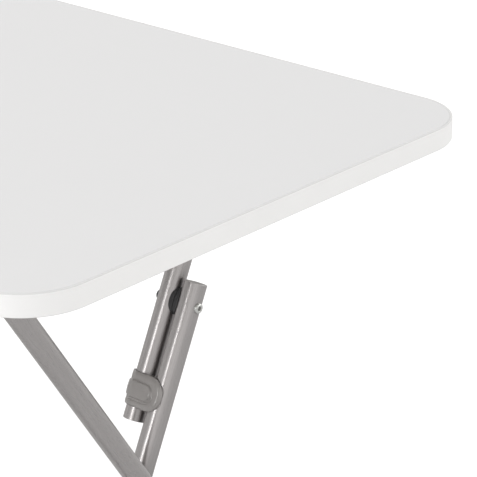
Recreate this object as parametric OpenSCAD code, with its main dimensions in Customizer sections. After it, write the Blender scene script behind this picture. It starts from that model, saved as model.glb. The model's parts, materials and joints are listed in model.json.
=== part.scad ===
// Folding table: a rounded laminate top on two crossed steel frames.
// X runs along the long side, Y along the short side, Z up. The origin is on the floor,
// under the middle of the top. The right end is the +X end.

/* [Top] */
// Length of the top
top_l = 800; // [620:1:1200]
// Width of the top
top_w = 500; // [400:1:700]
// Thickness of the top
top_t = 18; // [15:1:28]
// Radius of the top's corners
corner_r = 56; // [20:1:90]
// Thickness of the edge band
band_t = 2; // [1:0.5:3]
// Rounding of the band's outer edges
band_round = 1; // [0.25:0.25:1]

/* [Stance] */
// Height of the table
table_h = 700; // [560:1:860]
// From the short edges to the outer legs' axes
leg_inset = 150; // [110:1:200]
// From the long edge to the fold hinge
fold_inset = 87; // [60:1:110]
// From the other long edge to the link hinge
link_inset = 105; // [80:1:120]
// From the long edge to the outer frame's foot bar
outer_foot_inset = 12; // [12:1:30]
// From the other long edge to the inner frame's foot bend
inner_foot_inset = 81; // [78:1:100]
// From the underside down to the hinge axes
hinge_drop = 18; // [18:1:26]

/* [Tubes] */
// Outer diameter of the tubes
tube_d = 20; // [16:0.5:24]
// Wall of the tubes
tube_wall = 1.2; // [1:0.1:2]
// Bend radius on the tube's axis
bend_r = 40; // [34:1:55]
// Gap between neighbouring tubes
leg_gap = 4; // [4:0.5:8]
// Inner leg above the knee rivet
leg_top_over = 20; // [14:1:26]
// Link below the knee rivet
link_over = 109; // [100:1:115]
// Thickness of the plugs' end discs
plug_disc = 1.5; // [1:0.5:3]
// Length of the plugs inside the tubes
plug_len = 10; // [6:1:14]

/* [Feet] */
// Sole under the foot tubes
sole_t = 2; // [2:0.5:5]
// Rubber around the foot tubes
rubber_wall = 1.5; // [1:0.5:1.5]
// Foot bar beyond the outer legs' sides
foot_over = 25; // [20:1:35]
// Length of the foot caps
cap_len = 26; // [20:1:26]
// Length of the foot pads
pad_len = 30; // [20:1:50]
// From the middle to the foot pads
pad_x = 140; // [100:1:150]
// Width of the caps' soles
cap_sole_w = 14; // [10:1:18]
// Width of the pads' soles
pad_sole_w = 10; // [6:1:10]

/* [Rivets] */
// Rivet shank
rivet_d = 6; // [5:0.5:7]
// Rivet head
rivet_head_d = 9; // [8:0.5:10]
// Height of the heads over the tubes
rivet_head_h = 2.2; // [1.5:0.1:2.6]
// Hollow in the heads
rivet_hollow_d = 3.6; // [2:0.2:4.4]
// Length of the saddle spacers
spacer_len = 24; // [16:1:26]
// Width of the saddle spacers
spacer_w = 16; // [10:1:16]
// Washer between the crossing legs
washer_d = 16; // [12:1:18]

/* [Latch clip] */
// From the knee rivet to the middle of the clip
clip_drop = 82; // [60:1:84]
// Length of the clip along the link
clip_len = 30; // [24:1:36]
// Wall of the clip
clip_wall = 2.4; // [2:0.1:2.6]
// How far the clip's jaw wraps past the front of the inner leg
clip_wrap = 37; // [20:1:60]
// Thumb pad's height over the clip
thumb_h = 1; // [1:0.1:2]
// Thumb pad's width along the link
thumb_w = 14; // [12:1:20]
// Thumb pad's length across the clip
thumb_len = 33; // [16:1:34]

/* [Hinge blocks] */
// From the middle to the hinge blocks
block_x = 120; // [80:1:135]
// Length of the blocks along the bars
block_len = 24; // [18:1:34]
// Wall around the bars
block_wall = 3.5; // [3:0.5:5]
// Thickness of the base plates
plate_t = 4; // [3:0.5:6]
// Wing for each screw beyond the block's barrel
wing = 11; // [10:1:16]
// Screw shank
screw_d = 4; // [3:0.5:4.5]
// Screw head
screw_head_d = 8; // [6:0.5:8.5]
// Height of the screw heads
screw_head_h = 2.4; // [2:0.1:3]
// Screw's bite in the board
screw_bite = 11; // [8:1:12]

/* [Clearances] */
// Radial clearance of a running or push fit
fit = 0.05; // [0.02:0.01:0.08]
// Gap between pieces that move past each other
slip = 0.3; // [0.3:0.05:0.6]

/* [Hidden] */
$fn = 72;
tube_r = tube_d / 2;
under_z = table_h - top_t;
hinge_z = under_z - hinge_drop;
foot_z = tube_r + sole_t;
rise = hinge_z - foot_z;

// Planes of the tubes' axes on the right-hand side
outer_x = top_l / 2 - leg_inset;
tube_pitch = tube_d + leg_gap;
inner_x = outer_x - tube_pitch;
link_x = inner_x - tube_pitch;
foot_end = outer_x + tube_r + foot_over;

// Hinges, feet, and the lean of each frame from upright
fold_y = fold_inset - top_w / 2;
link_y = top_w / 2 - link_inset;
outer_foot_y = top_w / 2 - outer_foot_inset;
inner_foot_y = inner_foot_inset - top_w / 2;
outer_lean = atan((outer_foot_y - fold_y) / rise);
inner_lean = atan((link_y - inner_foot_y) / rise);
outer_len = rise / cos(outer_lean);
inner_len = rise / cos(inner_lean);

// Crossing of the legs, as a fall below the hinges and as lengths along the tubes
cross_fall = (link_y - fold_y) / (tan(outer_lean) + tan(inner_lean));
outer_to_cross = cross_fall / cos(outer_lean);
inner_to_cross = cross_fall / cos(inner_lean);

// The knee sits where all four pivots fall in one line when the table is folded flat
knee_s = (inner_to_cross + (link_y - fold_y) - outer_to_cross) / 2;

// Where the knee rivet is parted between the inner leg and the link
part_x = (inner_x + link_x) / 2;
plane_gap = leg_gap / 2;
saddle_depth = tube_r - sqrt(tube_r * tube_r - spacer_w * spacer_w / 4);

block_r = tube_r + fit + block_wall;
plate_w = 2 * (block_r + wing);
screw_y = block_r + wing / 2;
weld_cut = 2;
eps = 0.01;

// ---------- frames of reference ----------

// s = 1 draws the right-hand copy, s = -1 its mirror image at the left end
module side(s) {
    if (s > 0) children();
    else mirror([1, 0, 0]) children();
}

// The fold hinge is the origin, and -Z runs down the outer legs
module on_outer() {
    translate([0, fold_y, hinge_z]) rotate([outer_lean, 0, 0]) children();
}

// The link hinge is the origin, and -Z runs down the link and the inner legs
module on_inner() {
    translate([0, link_y, hinge_z]) rotate([-inner_lean, 0, 0]) children();
}

// ---------- tubes ----------

module tube_ring() {
    difference() {
        circle(d = tube_d);
        circle(d = tube_d - 2 * tube_wall);
    }
}

// A tube with its bar along X at z = 0 and its two ends reaching down to z = -reach
module bent_tube(half_w, reach) {
    bar = half_w - bend_r;
    translate([-bar, 0, 0]) rotate([0, 90, 0]) linear_extrude(2 * bar) tube_ring();
    for (s = [-1, 1]) side(s) {
        translate([bar, 0, -bend_r]) rotate([90, 0, 0])
            rotate_extrude(angle = 90) translate([bend_r, 0]) tube_ring();
        translate([half_w, 0, -reach]) linear_extrude(reach - bend_r) tube_ring();
    }
}

// A cylinder along X from x = from to x = to
module rod(d, from, to) {
    translate([from, 0, 0]) rotate([0, 90, 0]) cylinder(d = d, h = to - from);
}

// Holes right through both tubes that stand at x = -at and x = at
module rivet_holes(at) {
    for (s = [-1, 1]) side(s) rod(rivet_d + 2 * fit, at - tube_d, at + tube_d);
}

// ---------- the top ----------

module rounded_plan(l, w, r) {
    square([l - 2 * r, w], center = true);
    square([l, w - 2 * r], center = true);
    for (x = [-1, 1], y = [-1, 1]) translate([x * (l / 2 - r), y * (w / 2 - r)]) circle(r = r);
}

module each_screw() {
    for (x = [-block_x, block_x], y = [fold_y, link_y], side_y = [-screw_y, screw_y])
        translate([x, y + side_y, under_z]) children();
}

module top_board() {
    color("white") difference() {
        translate([0, 0, under_z]) linear_extrude(top_t)
            rounded_plan(top_l - 2 * band_t, top_w - 2 * band_t, corner_r - band_t);
        each_screw() translate([0, 0, -1]) cylinder(d = screw_d + 2 * fit, h = screw_bite + 2);
    }
}

// Section of the band: its inner face at x = 0, its outer edges rounded
module band_section() {
    square([band_t - band_round, top_t]);
    translate([0, band_round]) square([band_t, top_t - 2 * band_round]);
    for (y = [band_round, top_t - band_round]) translate([band_t - band_round, y]) circle(r = band_round);
}

module band_straight(l, off, turn) {
    rotate([0, 0, turn]) translate([off - band_t, l / 2, 0]) rotate([90, 0, 0])
        linear_extrude(l) band_section();
}

module edge_band() {
    color("whitesmoke") translate([0, 0, under_z]) {
        for (turn = [0, 180]) {
            band_straight(top_w - 2 * corner_r, top_l / 2, turn);
            band_straight(top_l - 2 * corner_r, top_w / 2, turn + 90);
            rotate([0, 0, turn]) {
                translate([top_l / 2 - corner_r, top_w / 2 - corner_r])
                    rotate_extrude(angle = 90) translate([corner_r - band_t, 0]) band_section();
                translate([top_l / 2 - corner_r, corner_r - top_w / 2]) rotate([0, 0, -90])
                    rotate_extrude(angle = 90) translate([corner_r - band_t, 0]) band_section();
            }
        }
    }
}

// ---------- hinge blocks under the top ----------

// A block whose bore carries a frame's bar at y = 0, screwed up to the underside
module hinge_block(y) {
    color("dimgray") translate([block_x - block_len / 2, y, hinge_z]) difference() {
        union() {
            rod(2 * block_r, 0, block_len);
            translate([0, -block_r, 0]) cube([block_len, 2 * block_r, hinge_drop]);
            translate([0, -plate_w / 2, hinge_drop - plate_t]) cube([block_len, plate_w, plate_t]);
        }
        rod(tube_d + 2 * fit, -1, block_len + 1);
        for (side_y = [-screw_y, screw_y]) translate([block_len / 2, side_y, 0])
            cylinder(d = screw_d + 2 * fit, h = hinge_drop + 1);
    }
}

module block_screw() {
    head_z = -plate_t - screw_head_h;
    slot = screw_head_d * 0.16;
    difference() {
        union() {
            translate([0, 0, head_z])
                cylinder(d1 = screw_head_d * 0.7, d2 = screw_head_d, h = screw_head_h / 2);
            translate([0, 0, -plate_t - screw_head_h / 2]) cylinder(d = screw_head_d, h = screw_head_h / 2);
            translate([0, 0, -plate_t - eps]) cylinder(d = screw_d, h = plate_t + screw_bite);
        }
        for (turn = [0, 90]) rotate([0, 0, turn]) translate([-screw_head_d / 4, -slot / 2, head_z - 1])
            cube([screw_head_d / 2, slot, 1 + screw_head_h / 2]);
    }
}

module block_screws() {
    color("silver") each_screw() block_screw();
}

// ---------- outer frame ----------

module outer_frame() {
    color("darkgray") on_outer() difference() {
        bent_tube(outer_x, outer_len - weld_cut);
        translate([0, 0, -outer_len]) rod(tube_d + 2 * fit, -top_l, top_l);
        translate([0, 0, -outer_to_cross]) rivet_holes(outer_x);
    }
}

module outer_foot_bar() {
    color("darkgray") translate([-foot_end, outer_foot_y, foot_z]) rotate([0, 90, 0])
        linear_extrude(2 * foot_end) tube_ring();
}

// A rubber cup on the end of the foot bar, with a flat sole
module foot_cap() {
    cap_start = foot_end + sole_t - cap_len;
    rubber_d = tube_d + 2 * rubber_wall;
    color("dimgray") difference() {
        union() {
            translate([0, outer_foot_y, foot_z]) rod(rubber_d, cap_start, foot_end + sole_t);
            translate([cap_start, outer_foot_y - cap_sole_w / 2, 0])
                cube([cap_len, cap_sole_w, foot_z]);
        }
        translate([0, outer_foot_y, foot_z]) rod(tube_d + 2 * fit, foot_end - cap_len, foot_end);
    }
}

// ---------- rivets and spacers ----------

// The dome of a rivet head: its flat back at x = 0, its hollow in front
module rivet_dome(h) {
    head_r = rivet_head_d / 2;
    crown = 1;
    dome_r = (head_r * head_r + crown * crown) / (2 * crown) * 1.25;
    difference() {
        union() {
            rod(rivet_head_d, 0, h - crown);
            translate([h - crown, 0, 0]) rotate([0, 90, 0]) rotate_extrude() intersection() {
                translate([0, crown - dome_r]) circle(r = dome_r);
                square([head_r, crown]);
            }
        }
        rod(rivet_hollow_d, h - crown * 1.2, h + 1);
    }
}

// A rivet half at x = at: its head hugs the tube there and faces +X, its shank runs back to shank_to
module rivet_half(at, shank_to) {
    sunk = 1.5;
    difference() {
        translate([at + tube_r - sunk, 0, 0]) rivet_dome(rivet_head_h + sunk);
        translate([at, 0, -rivet_head_d]) cylinder(d = tube_d + 2 * fit, h = 2 * rivet_head_d);
    }
    rod(rivet_d, shank_to, at + tube_r + rivet_head_h / 2 - 0.5);
}

// The crossing rivet runs right through the outer and the inner leg. Its tail stays clear of the
// inner leg, which turns on the shank.
module cross_rivet() {
    tail_x = inner_x - tube_r - slip;
    color("silver") on_outer() translate([0, 0, -outer_to_cross]) {
        rivet_half(outer_x, inner_x);
        translate([tail_x, 0, 0]) mirror([1, 0, 0]) rivet_dome(rivet_head_h - slip);
        rod(rivet_d, tail_x - 0.5, outer_x);
    }
}

module cross_washer() {
    color("black") on_outer() translate([0, 0, -outer_to_cross]) difference() {
        rod(washer_d, inner_x + tube_r + slip, outer_x - tube_r - fit);
        rod(rivet_d + 2 * fit, inner_x, outer_x);
    }
}

// Half of the knee's spacer: a plate of stadium outline at x = 0, hollowed to sit on the tube
module saddle() {
    straight = spacer_len - spacer_w;
    depth = plane_gap + saddle_depth;
    difference() {
        translate([slip / 2, 0, 0]) {
            for (z = [-straight / 2, straight / 2]) translate([0, 0, z]) rod(spacer_w, 0, depth);
            translate([0, -spacer_w / 2, -straight / 2]) cube([depth, spacer_w, straight]);
        }
        translate([plane_gap + tube_r, 0, -spacer_len]) cylinder(d = tube_d + 2 * fit, h = 2 * spacer_len);
        rod(rivet_d + 2 * fit, -1, depth + 2);
    }
}

module at_knee() {
    on_inner() translate([0, 0, -knee_s]) children();
}

module leg_saddle() {
    color("black") at_knee() translate([part_x, 0, 0]) saddle();
}

module link_saddle() {
    color("black") at_knee() translate([part_x, 0, 0]) mirror([1, 0, 0]) saddle();
}

module knee_rivet_head() {
    color("silver") at_knee() rivet_half(inner_x, part_x + slip / 2);
}

module knee_rivet_tail() {
    color("dimgray") at_knee() translate([2 * link_x, 0, 0]) mirror([1, 0, 0])
        rivet_half(link_x, 2 * link_x - part_x + slip / 2);
}

// ---------- inner frame ----------

module inner_frame() {
    color("darkgray") on_inner() difference() {
        translate([0, 0, -inner_len]) rotate([180, 0, 0])
            bent_tube(inner_x, inner_len - knee_s + leg_top_over);
        translate([0, 0, -knee_s]) rivet_holes(inner_x);
        translate([0, 0, -inner_to_cross]) rivet_holes(inner_x);
    }
}

// A snap-on pad under the inner frame's foot, open above, with a flat sole
module foot_pad() {
    rubber_d = tube_d + 2 * rubber_wall;
    mouth = tube_d * 0.6;
    color("dimgray") translate([pad_x - pad_len / 2, inner_foot_y, foot_z]) difference() {
        union() {
            rod(rubber_d, 0, pad_len);
            translate([0, -pad_sole_w / 2, -foot_z]) cube([pad_len, pad_sole_w, foot_z]);
        }
        rod(tube_d + 2 * fit, -1, pad_len + 1);
        translate([-1, -mouth / 2, 0]) cube([pad_len + 2, mouth, tube_d]);
    }
}

// A plug pressed in an open tube end: its disc flush with the end, its stem inside
module tube_plug() {
    bore_d = tube_d - 2 * tube_wall - 2 * fit;
    color("gray") translate([0, 0, -plug_len]) difference() {
        cylinder(d = bore_d, h = plug_len);
        translate([0, 0, -1]) cylinder(d = bore_d - 3, h = plug_len - plug_disc + 1);
    }
}

module leg_plug() {
    on_inner() translate([inner_x, 0, leg_top_over - knee_s]) tube_plug();
}

// ---------- link frame ----------

module link_frame() {
    color("darkgray") on_inner() difference() {
        bent_tube(link_x, knee_s + link_over);
        translate([0, 0, -knee_s]) rivet_holes(link_x);
    }
}

module link_plug() {
    on_inner() translate([link_x, 0, -knee_s - link_over]) mirror([0, 0, 1]) tube_plug();
}

// Section of the clip: a sleeve round the link at x = 0 and a jaw over the front of the leg.
// The front is the -Y side.
module clip_section() {
    sleeve_r = tube_r + clip_wall;
    jaw_r = tube_r + slip + clip_wall;
    reach = 2 * jaw_r;
    difference() {
        union() {
            circle(r = sleeve_r);
            translate([0, -sleeve_r]) square([tube_pitch, sleeve_r - tube_r / 2]);
            translate([tube_pitch, 0]) intersection() {
                circle(r = jaw_r);
                polygon([[0, 0], [-reach, -tube_r / 2], [-reach, -reach], [0, -reach],
                    [reach * sin(clip_wrap), -reach * cos(clip_wrap)]]);
            }
        }
        circle(r = tube_r + fit);
        translate([tube_pitch, 0]) circle(r = tube_r + slip);
    }
}

// Outline of the clip from the front: straight along the link, round over the leg
module clip_outline() {
    left = -tube_r - clip_wall;
    right = tube_pitch + (tube_r + slip + clip_wall) * sin(clip_wrap);
    round_r = clip_len / 2;
    translate([left, -round_r]) square([right - round_r - left, clip_len]);
    translate([right - round_r, 0]) circle(r = round_r);
}

// The thumb rib: a stadium that wraps round the sleeve's side and stands proud of its front
module thumb_pad() {
    front = tube_r + clip_wall + thumb_h;
    intersection() {
        translate([0, -front, 0]) rotate([-90, 0, 0]) linear_extrude(front - tube_r / 2) {
            translate([thumb_w / 2 - front, 0]) circle(d = thumb_w);
            translate([thumb_len - thumb_w / 2 - front, 0]) circle(d = thumb_w);
            translate([thumb_w / 2 - front, -thumb_w / 2]) square([thumb_len - thumb_w, thumb_w]);
        }
        union() {
            translate([0, 0, -clip_len]) cylinder(r = front, h = 2 * clip_len);
            translate([0, -front, -clip_len]) cube([thumb_len, front, 2 * clip_len]);
        }
    }
}

module latch_clip() {
    color("gray") on_inner() translate([link_x, 0, -knee_s - clip_drop]) {
        intersection() {
            translate([0, 0, -clip_len / 2]) linear_extrude(clip_len) clip_section();
            translate([0, 2 * tube_d, 0]) rotate([90, 0, 0]) linear_extrude(4 * tube_d) clip_outline();
        }
        difference() {
            thumb_pad();
            translate([0, 0, -clip_len]) cylinder(d = tube_d + 2 * fit, h = 2 * clip_len);
            translate([tube_pitch, 0, -clip_len]) cylinder(r = tube_r + slip, h = 2 * clip_len);
        }
    }
}

// ---------- nodes ----------

top_board();
edge_band();
side(1) hinge_block(fold_y);  // fold_hinge_block_right
side(-1) hinge_block(fold_y);  // fold_hinge_block_left
side(1) hinge_block(link_y);  // link_hinge_block_right
side(-1) hinge_block(link_y);  // link_hinge_block_left
block_screws();

outer_frame();
outer_foot_bar();
side(1) foot_cap();  // foot_cap_right
side(-1) foot_cap();  // foot_cap_left
side(1) cross_rivet();  // cross_rivet_right
side(-1) cross_rivet();  // cross_rivet_left
side(1) cross_washer();  // cross_washer_right
side(-1) cross_washer();  // cross_washer_left

inner_frame();
side(1) foot_pad();  // foot_pad_right
side(-1) foot_pad();  // foot_pad_left
side(1) leg_plug();  // leg_plug_right
side(-1) leg_plug();  // leg_plug_left
side(1) knee_rivet_head();  // knee_rivet_head_right
side(-1) knee_rivet_head();  // knee_rivet_head_left
side(1) leg_saddle();  // leg_saddle_right
side(-1) leg_saddle();  // leg_saddle_left

link_frame();
side(1) link_plug();  // link_plug_right
side(-1) link_plug();  // link_plug_left
side(1) knee_rivet_tail();  // knee_rivet_tail_right
side(-1) knee_rivet_tail();  // knee_rivet_tail_left
side(1) link_saddle();  // link_saddle_right
side(-1) link_saddle();  // link_saddle_left
side(1) latch_clip();  // latch_clip_right
side(-1) latch_clip();  // latch_clip_left
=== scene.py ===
# %% [markdown]
# # A folding table in brushed steel and white laminate
#
# The table is a rounded board on two crossed tube frames. A third, short frame is hinged under
# the board as well. It is riveted to the inner legs at the "knee", and a grey clip snaps it to
# those legs while the table stands.
#
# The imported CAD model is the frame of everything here: it says where each part is and which
# body carries it. Blender adds what CAD leaves out, such as bevels, moulded detail, welds and
# finishes. Every length is in metres, so millimetres are written as a number times `mm`.

# %% Load the frame
import json
import math
import bpy
import bmesh
from mathutils import Matrix, Vector


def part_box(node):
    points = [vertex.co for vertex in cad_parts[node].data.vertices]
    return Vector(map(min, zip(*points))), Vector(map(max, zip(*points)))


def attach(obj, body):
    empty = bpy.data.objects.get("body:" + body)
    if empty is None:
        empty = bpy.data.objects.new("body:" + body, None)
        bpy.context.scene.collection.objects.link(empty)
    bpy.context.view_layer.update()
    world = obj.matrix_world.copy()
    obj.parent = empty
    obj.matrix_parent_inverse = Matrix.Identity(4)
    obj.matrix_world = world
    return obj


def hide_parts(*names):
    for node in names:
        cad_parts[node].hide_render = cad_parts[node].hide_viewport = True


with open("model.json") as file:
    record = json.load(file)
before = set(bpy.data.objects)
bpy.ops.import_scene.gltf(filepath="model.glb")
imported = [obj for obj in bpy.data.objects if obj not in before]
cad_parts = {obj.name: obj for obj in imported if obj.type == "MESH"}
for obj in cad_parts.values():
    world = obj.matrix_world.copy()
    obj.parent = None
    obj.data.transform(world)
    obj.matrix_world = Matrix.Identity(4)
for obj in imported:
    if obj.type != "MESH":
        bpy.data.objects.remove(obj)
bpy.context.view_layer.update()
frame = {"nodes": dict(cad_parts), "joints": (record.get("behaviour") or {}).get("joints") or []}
mm = 0.001

# %% [markdown]
# ## The mechanism's own axes
#
# Both leg frames lean, so their pieces are easiest to make upright and then tilt. Two matrices
# do that. `outer_place` puts the origin on the fold hinge, with -Z running down the outer legs.
# `inner_place` puts it on the link hinge, with -Z down the inner legs and the link. Their tilts
# come from the joints in the record, and the tube size comes from the foot bar's height. The
# knee's two halves part at `knee_x`, midway between the leg and the link.

# %% Hinges, leans and tube sizes
joint = {row["name"]: Vector(row["pos_m"]) for row in frame["joints"]}
fold, cross, link = joint["fold"], joint["cross"], joint["link"]
outer_lean = math.atan2(cross.y - fold.y, fold.z - cross.z)
inner_lean = math.atan2(link.y - cross.y, link.z - cross.z)
outer_place = Matrix.Translation(fold) @ Matrix.Rotation(outer_lean, 4, "X")
inner_place = Matrix.Translation(link) @ Matrix.Rotation(-inner_lean, 4, "X")

bar_low, bar_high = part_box("outer_foot_bar")
tube_r = (bar_high.z - bar_low.z) / 2
foot_y, foot_z = (bar_low.y + bar_high.y) / 2, (bar_low.z + bar_high.z) / 2
outer_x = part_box("outer_frame")[1].x - tube_r
inner_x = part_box("inner_frame")[1].x - tube_r
link_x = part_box("link_frame")[1].x - tube_r
tube_wall, bend_r = 1.2 * mm, 40 * mm
knee_low, knee_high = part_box("knee_rivet_head_right")
knee_s = (link.z - (knee_low.z + knee_high.z) / 2) / math.cos(inner_lean)
knee_x = (inner_x + link_x) / 2
cross_z = -(fold.z - cross.z) / math.cos(outer_lean)
print(f"lean {math.degrees(outer_lean):.2f} and {math.degrees(inner_lean):.2f} degrees,",
      f"tube {2 * tube_r / mm:.1f} mm, knee {knee_s / mm:.1f} mm below the link hinge")

# %% [markdown]
# ## Small helpers
#
# Most pieces are made the same way: make a mesh, put it in place, give it a material, say which
# body it rides on and which CAD parts it stands for. `finish_piece` does the last steps in one
# call. `skin` joins rings of points with faces, which is enough for boards, bands and
# turned parts. `add` makes one node of a node tree and fills or links its sockets.

# %% Helpers
def as_mesh(name, verts, faces, smooth=40):
    mesh = bpy.data.meshes.new(name)
    mesh.from_pydata([tuple(v) for v in verts], [], faces)
    shade(mesh, smooth)
    return mesh


def shade(mesh, degrees=40):
    """Smooth shading, with edges sharper than that many degrees kept crisp."""
    mesh.shade_smooth()
    mesh.set_sharp_from_angle(angle=math.radians(degrees))


def new_object(name, mesh):
    piece = bpy.data.objects.new(name, mesh)
    bpy.context.scene.collection.objects.link(piece)
    return piece


def skin(rings, closed=False, caps=True):
    """Vertices and faces that join rings of points, from the first ring to the last."""
    size, count = len(rings[0]), len(rings)
    verts = [point for ring in rings for point in ring]
    faces = []
    for row in range(count if closed else count - 1):
        a, b = row * size, (row + 1) % count * size
        faces += [(a + i, a + (i + 1) % size, b + (i + 1) % size, b + i) for i in range(size)]
    if caps and not closed:
        faces += [tuple(range(size))[::-1], tuple(range((count - 1) * size, count * size))]
    return verts, faces


def outward(mesh):
    """Merges doubles and turns every face outwards."""
    work = bmesh.new()
    work.from_mesh(mesh)
    bmesh.ops.remove_doubles(work, verts=work.verts, dist=1e-6)
    bmesh.ops.recalc_face_normals(work, faces=work.faces)
    work.to_mesh(mesh)
    work.free()
    return mesh


def baked(piece):
    """Turns the piece, its modifiers and its instances into one plain mesh."""
    graph = bpy.context.evaluated_depsgraph_get()
    plain = bpy.data.meshes.new_from_object(
        piece.evaluated_get(graph), preserve_all_data_layers=True, depsgraph=graph)
    piece.modifiers.clear()
    piece.data = plain
    return piece


def join(name, pieces):
    """One object from several, each already in place. Their materials come along."""
    work, materials = bmesh.new(), []
    for piece in pieces:
        slots = [slot.material for slot in piece.material_slots]
        for material in slots:
            if material not in materials:
                materials.append(material)
        start = len(work.faces)
        work.from_mesh(piece.data)
        work.faces.ensure_lookup_table()
        for face in work.faces[start:]:
            if slots:
                face.material_index = materials.index(slots[face.material_index])
        bpy.data.objects.remove(piece)
    mesh = bpy.data.meshes.new(name)
    work.to_mesh(mesh)
    work.free()
    for material in materials:
        mesh.materials.append(material)
    return new_object(name, mesh)


def finish_piece(piece, body, material=None, stands_for=()):
    if material:
        piece.data.materials.clear()
        piece.data.materials.append(material)
    if stands_for:
        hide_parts(*stands_for)
    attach(piece, body)
    low = [min(v.co[i] for v in piece.data.vertices) / mm for i in range(3)]
    high = [max(v.co[i] for v in piece.data.vertices) / mm for i in range(3)]
    print(f"{piece.name}: {len(piece.data.polygons)} faces, "
          f"from {[round(v, 1) for v in low]} to {[round(v, 1) for v in high]} mm")
    return piece


def add(tree, kind, sockets=None, **settings):
    node = tree.nodes.new(kind)
    for key, value in settings.items():
        setattr(node, key, value)
    for key, value in (sockets or {}).items():
        socket = node.inputs[key]
        if isinstance(value, bpy.types.NodeSocket):
            tree.links.new(value, socket)
        else:
            socket.default_value = value
    return node


def sided(name):
    return [f"{name}_right", f"{name}_left"]


def mirrored(mesh):
    """The mesh and its mirror image at the other end of the table, in one mesh."""
    work = bmesh.new()
    work.from_mesh(mesh)
    twin = bmesh.ops.duplicate(work, geom=work.verts[:] + work.edges[:] + work.faces[:])["geom"]
    for vert in twin:
        if isinstance(vert, bmesh.types.BMVert):
            vert.co.x = -vert.co.x
    bmesh.ops.reverse_faces(work, faces=[f for f in twin if isinstance(f, bmesh.types.BMFace)])
    work.to_mesh(mesh)
    work.free()
    return mesh


# %% [markdown]
# ## Camera, light and floor
#
# The camera stands in front of the right end, above the board, and looks down at the near
# corner with a long lens. A long lens keeps the two long edges of the board almost parallel.
# Roll turns the camera a little about its own line of sight.

# %% Camera
def make_camera():
    place = Vector((1.35052, -1.0605, 1.2735))
    turn, tilt, roll = math.radians(46.9761), math.radians(22.9875), math.radians(-1.1378)
    ahead = Vector((-math.cos(turn) * math.cos(tilt), math.sin(turn) * math.cos(tilt), -math.sin(tilt)))
    side = Vector((math.sin(turn), math.cos(turn), 0))
    above = side.cross(ahead)
    right = math.cos(roll) * side + math.sin(roll) * above
    up = math.cos(roll) * above - math.sin(roll) * side
    data = bpy.data.cameras.new("camera")
    data.sensor_width, data.lens = 36, 157.496
    data.clip_start, data.clip_end = 0.05, 100
    camera = bpy.data.objects.new("camera", data)
    axes = Matrix((right, up, -ahead)).transposed().to_4x4()
    camera.matrix_world = Matrix.Translation(place) @ axes
    bpy.context.scene.collection.objects.link(camera)
    bpy.context.scene.camera = camera
    print(f"camera {place.length:.2f} m from the origin, lens {data.lens:.1f} mm")


make_camera()

# %% [markdown]
# Brushed steel is mostly a picture of the room, so the light decides how it looks. The room is
# grey all round, brighter overhead and brightest behind the table. That gives the tubes
# bright rims and a mid grey middle. One small softbox to the left draws the narrow streak that
# runs down the leg and the link, and two big weak ones lift the edges of the board.
#
# A Light Path node shows plain white wherever the camera itself looks past the table, so the
# grey room is only in what the surfaces see.

# %% Room and lamps
ROOM_WALLS, ROOM_ABOVE = 0.60, 0.52
# direction, the cosines at which the glow starts and is full, and its strength
GLOWS = [((-0.78, 0.60, 0.15), 0.20, 0.90, 0.50),
         ((0.64, 0.77, 0.0), 0.55, 0.98, 0.95),
         ((0.71, -0.70, 0.10), 0.45, 0.95, 0.38)]


def math_node(tree, operation, first, second=0.0):
    return add(tree, "ShaderNodeMath", {0: first, 1: second}, operation=operation).outputs[0]


def vector_math(tree, operation, first, second):
    place = 3 if operation == "SCALE" else 1
    node = add(tree, "ShaderNodeVectorMath", {0: first, place: second}, operation=operation)
    return node.outputs["Value" if operation == "DOT_PRODUCT" else "Vector"]


def spread(tree, value, low, high, out_low, out_high, curve="LINEAR"):
    """Maps a value from low...high to out_low...out_high."""
    return add(tree, "ShaderNodeMapRange", {"Value": value, "From Min": low, "From Max": high,
               "To Min": out_low, "To Max": out_high}, interpolation_type=curve).outputs["Result"]


def make_room():
    world = bpy.data.worlds.new("studio")
    bpy.context.scene.world = world
    world.use_nodes = True
    tree = world.node_tree
    tree.nodes.clear()
    way = add(tree, "ShaderNodeTexCoord").outputs["Generated"]
    height = add(tree, "ShaderNodeSeparateXYZ", {0: way}).outputs[2]
    total = spread(tree, height, 0.45, 0.95, ROOM_WALLS, ROOM_ABOVE, "SMOOTHSTEP")
    for direction, start, full, strength in GLOWS:
        facing = vector_math(tree, "DOT_PRODUCT", way, Vector(direction).normalized())
        glow = spread(tree, facing, start, full, 0.0, strength, "SMOOTHSTEP")
        total = math_node(tree, "ADD", total, glow)
    seen = add(tree, "ShaderNodeLightPath").outputs["Is Camera Ray"]
    light = add(tree, "ShaderNodeBackground", {"Color": (1, 0.99, 0.98, 1), "Strength": total})
    plain = add(tree, "ShaderNodeBackground", {"Color": (1, 1, 1, 1), "Strength": 1.05})
    mix = add(tree, "ShaderNodeMixShader", {0: seen, 1: light.outputs[0], 2: plain.outputs[0]})
    add(tree, "ShaderNodeOutputWorld", {"Surface": mix.outputs[0]})


def softbox(name, place, aim, width, height, power):
    data = bpy.data.lights.new(name, "AREA")
    data.shape, data.size, data.size_y, data.energy = "RECTANGLE", width, height, power
    lamp = bpy.data.objects.new(name, data)
    lamp.matrix_world = (Matrix.Translation(place)
                         @ (Vector(aim) - Vector(place)).to_track_quat("-Z", "Y").to_matrix().to_4x4())
    bpy.context.scene.collection.objects.link(lamp)


make_room()
softbox("streak_light", (0.30, -2.76, 1.30), (0.23, 0.08, 0.5), 0.52, 1.4, 9.5)
softbox("end_light", (3.6, 4.2, 3.4), (0.3, 0, 0.6), 5.0, 5.0, 50)
softbox("front_light", (-1.6, -4.6, 5.9), (0, 0, 0.6), 5.0, 4.4, 190)
bpy.context.scene.view_settings.view_transform = "Standard"

# %% [markdown]
# The floor is a plain pale sheet, far larger than the table. It glows a little, as an
# overlit studio sheet does, so that no edge of it shows.

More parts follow.
